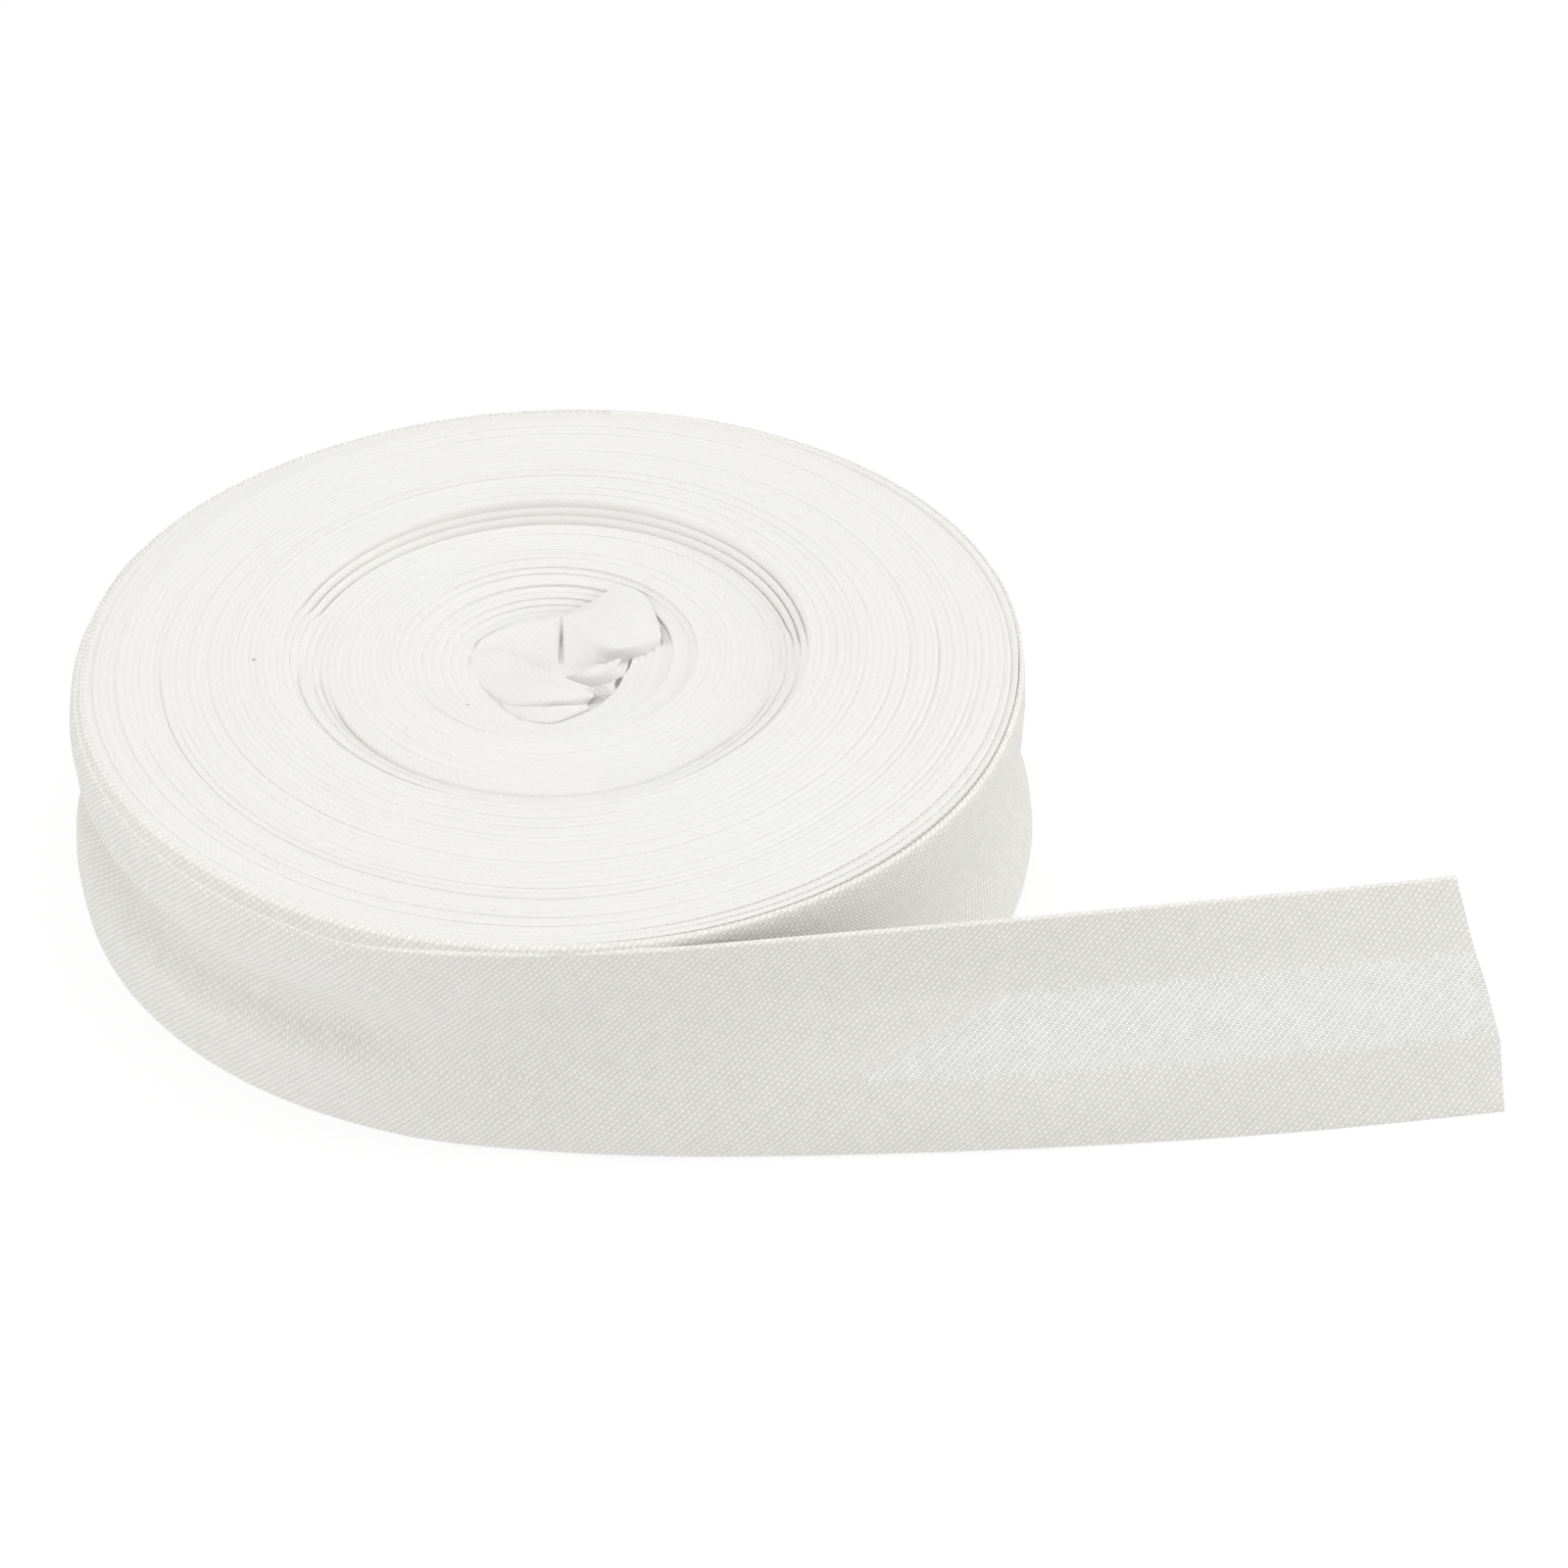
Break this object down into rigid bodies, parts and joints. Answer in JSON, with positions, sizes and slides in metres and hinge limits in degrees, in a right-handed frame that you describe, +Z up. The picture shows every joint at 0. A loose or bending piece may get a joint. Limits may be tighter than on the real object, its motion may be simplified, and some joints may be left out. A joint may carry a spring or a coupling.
{
  "type": "roll of bias tape",
  "caption": "Wound roll of white folded cotton bias tape lying flat, its outer end run off to one side and its inner end crumpled in the hollow.",
  "frame": {"origin": "on the resting plane, under the centre of the part's outline as seen from above", "axes": "+X the way the loose end runs off, +Z up from the surface that the roll lies on"},
  "size_m": [0.1218, 0.085, 0.0203],
  "materials": {
    "white_cotton": "matt plain-woven cotton cut on the bias, both edges folded to the back and pressed"
  },
  "bodies": {
    "root": {"wound_roll": "white_cotton", "loose_end": "white_cotton", "inner_end": "white_cotton"}
  },
  "joints": []
}
